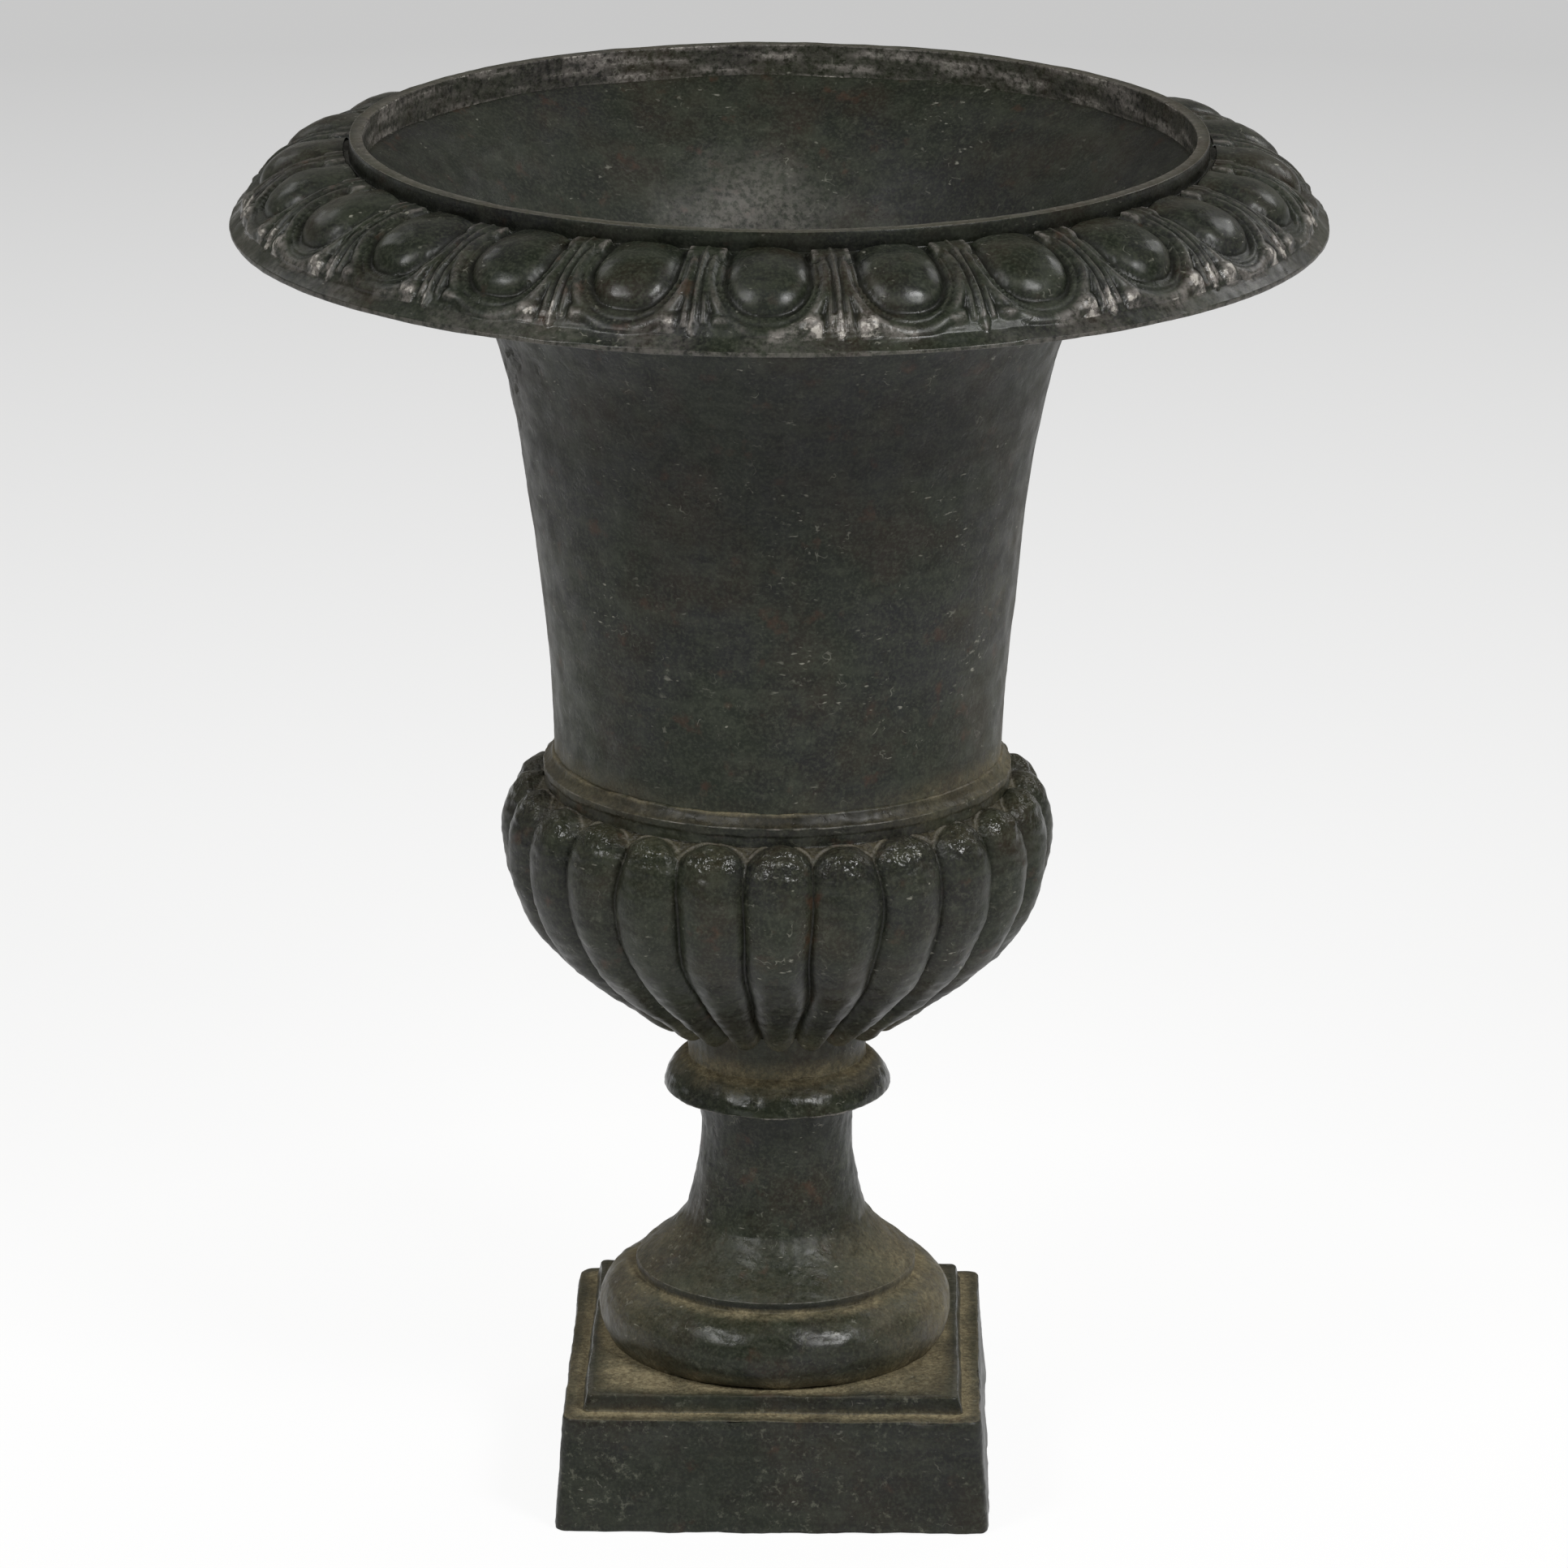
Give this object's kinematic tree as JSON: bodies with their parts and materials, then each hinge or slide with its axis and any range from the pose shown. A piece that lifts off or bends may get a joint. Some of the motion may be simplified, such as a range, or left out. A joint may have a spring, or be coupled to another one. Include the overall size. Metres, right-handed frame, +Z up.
{
  "type": "garden urn planter",
  "caption": "Campana garden urn in black painted cast iron: egg-and-dart rim, flared bell, gadrooned bowl, waisted pedestal and square plinth.",
  "frame": {"origin": "centre of the plinth's underside, on the ground", "axes": "+Z up the urn's axis; -Y is the front, square to one side of the plinth; +X to the right seen from the front"},
  "size_m": [0.542, 0.542, 0.7],
  "materials": {
    "black_iron": "old black paint with a green tint over rough castings, dusty on ledges and in grooves",
    "dark_steel": "dull, lightly rusted steel fasteners"
  },
  "bodies": {
    "root": {"plinth": "black_iron", "pedestal": "black_iron", "gadrooned_bowl": "black_iron", "bell_body": "black_iron", "rim_ring": "black_iron", "tie_rod": "dark_steel", "clamp_bar": "dark_steel", "rod_top_washer": "dark_steel", "rod_top_nut": "dark_steel", "rod_foot_washer": "dark_steel", "rod_foot_nut": "dark_steel", "flange_bolt_1": "dark_steel", "flange_bolt_2": "dark_steel", "flange_bolt_3": "dark_steel", "flange_bolt_4": "dark_steel", "flange_washer_1": "dark_steel", "flange_washer_2": "dark_steel", "flange_washer_3": "dark_steel", "flange_washer_4": "dark_steel", "flange_nut_1": "dark_steel", "flange_nut_2": "dark_steel", "flange_nut_3": "dark_steel", "flange_nut_4": "dark_steel", "rim_bolt_1": "dark_steel", "rim_bolt_2": "dark_steel", "rim_bolt_3": "dark_steel", "rim_bolt_4": "dark_steel", "rim_bolt_5": "dark_steel", "rim_bolt_6": "dark_steel", "rim_washer_1": "dark_steel", "rim_washer_2": "dark_steel", "rim_washer_3": "dark_steel", "rim_washer_4": "dark_steel", "rim_washer_5": "dark_steel", "rim_washer_6": "dark_steel"}
  },
  "joints": []
}
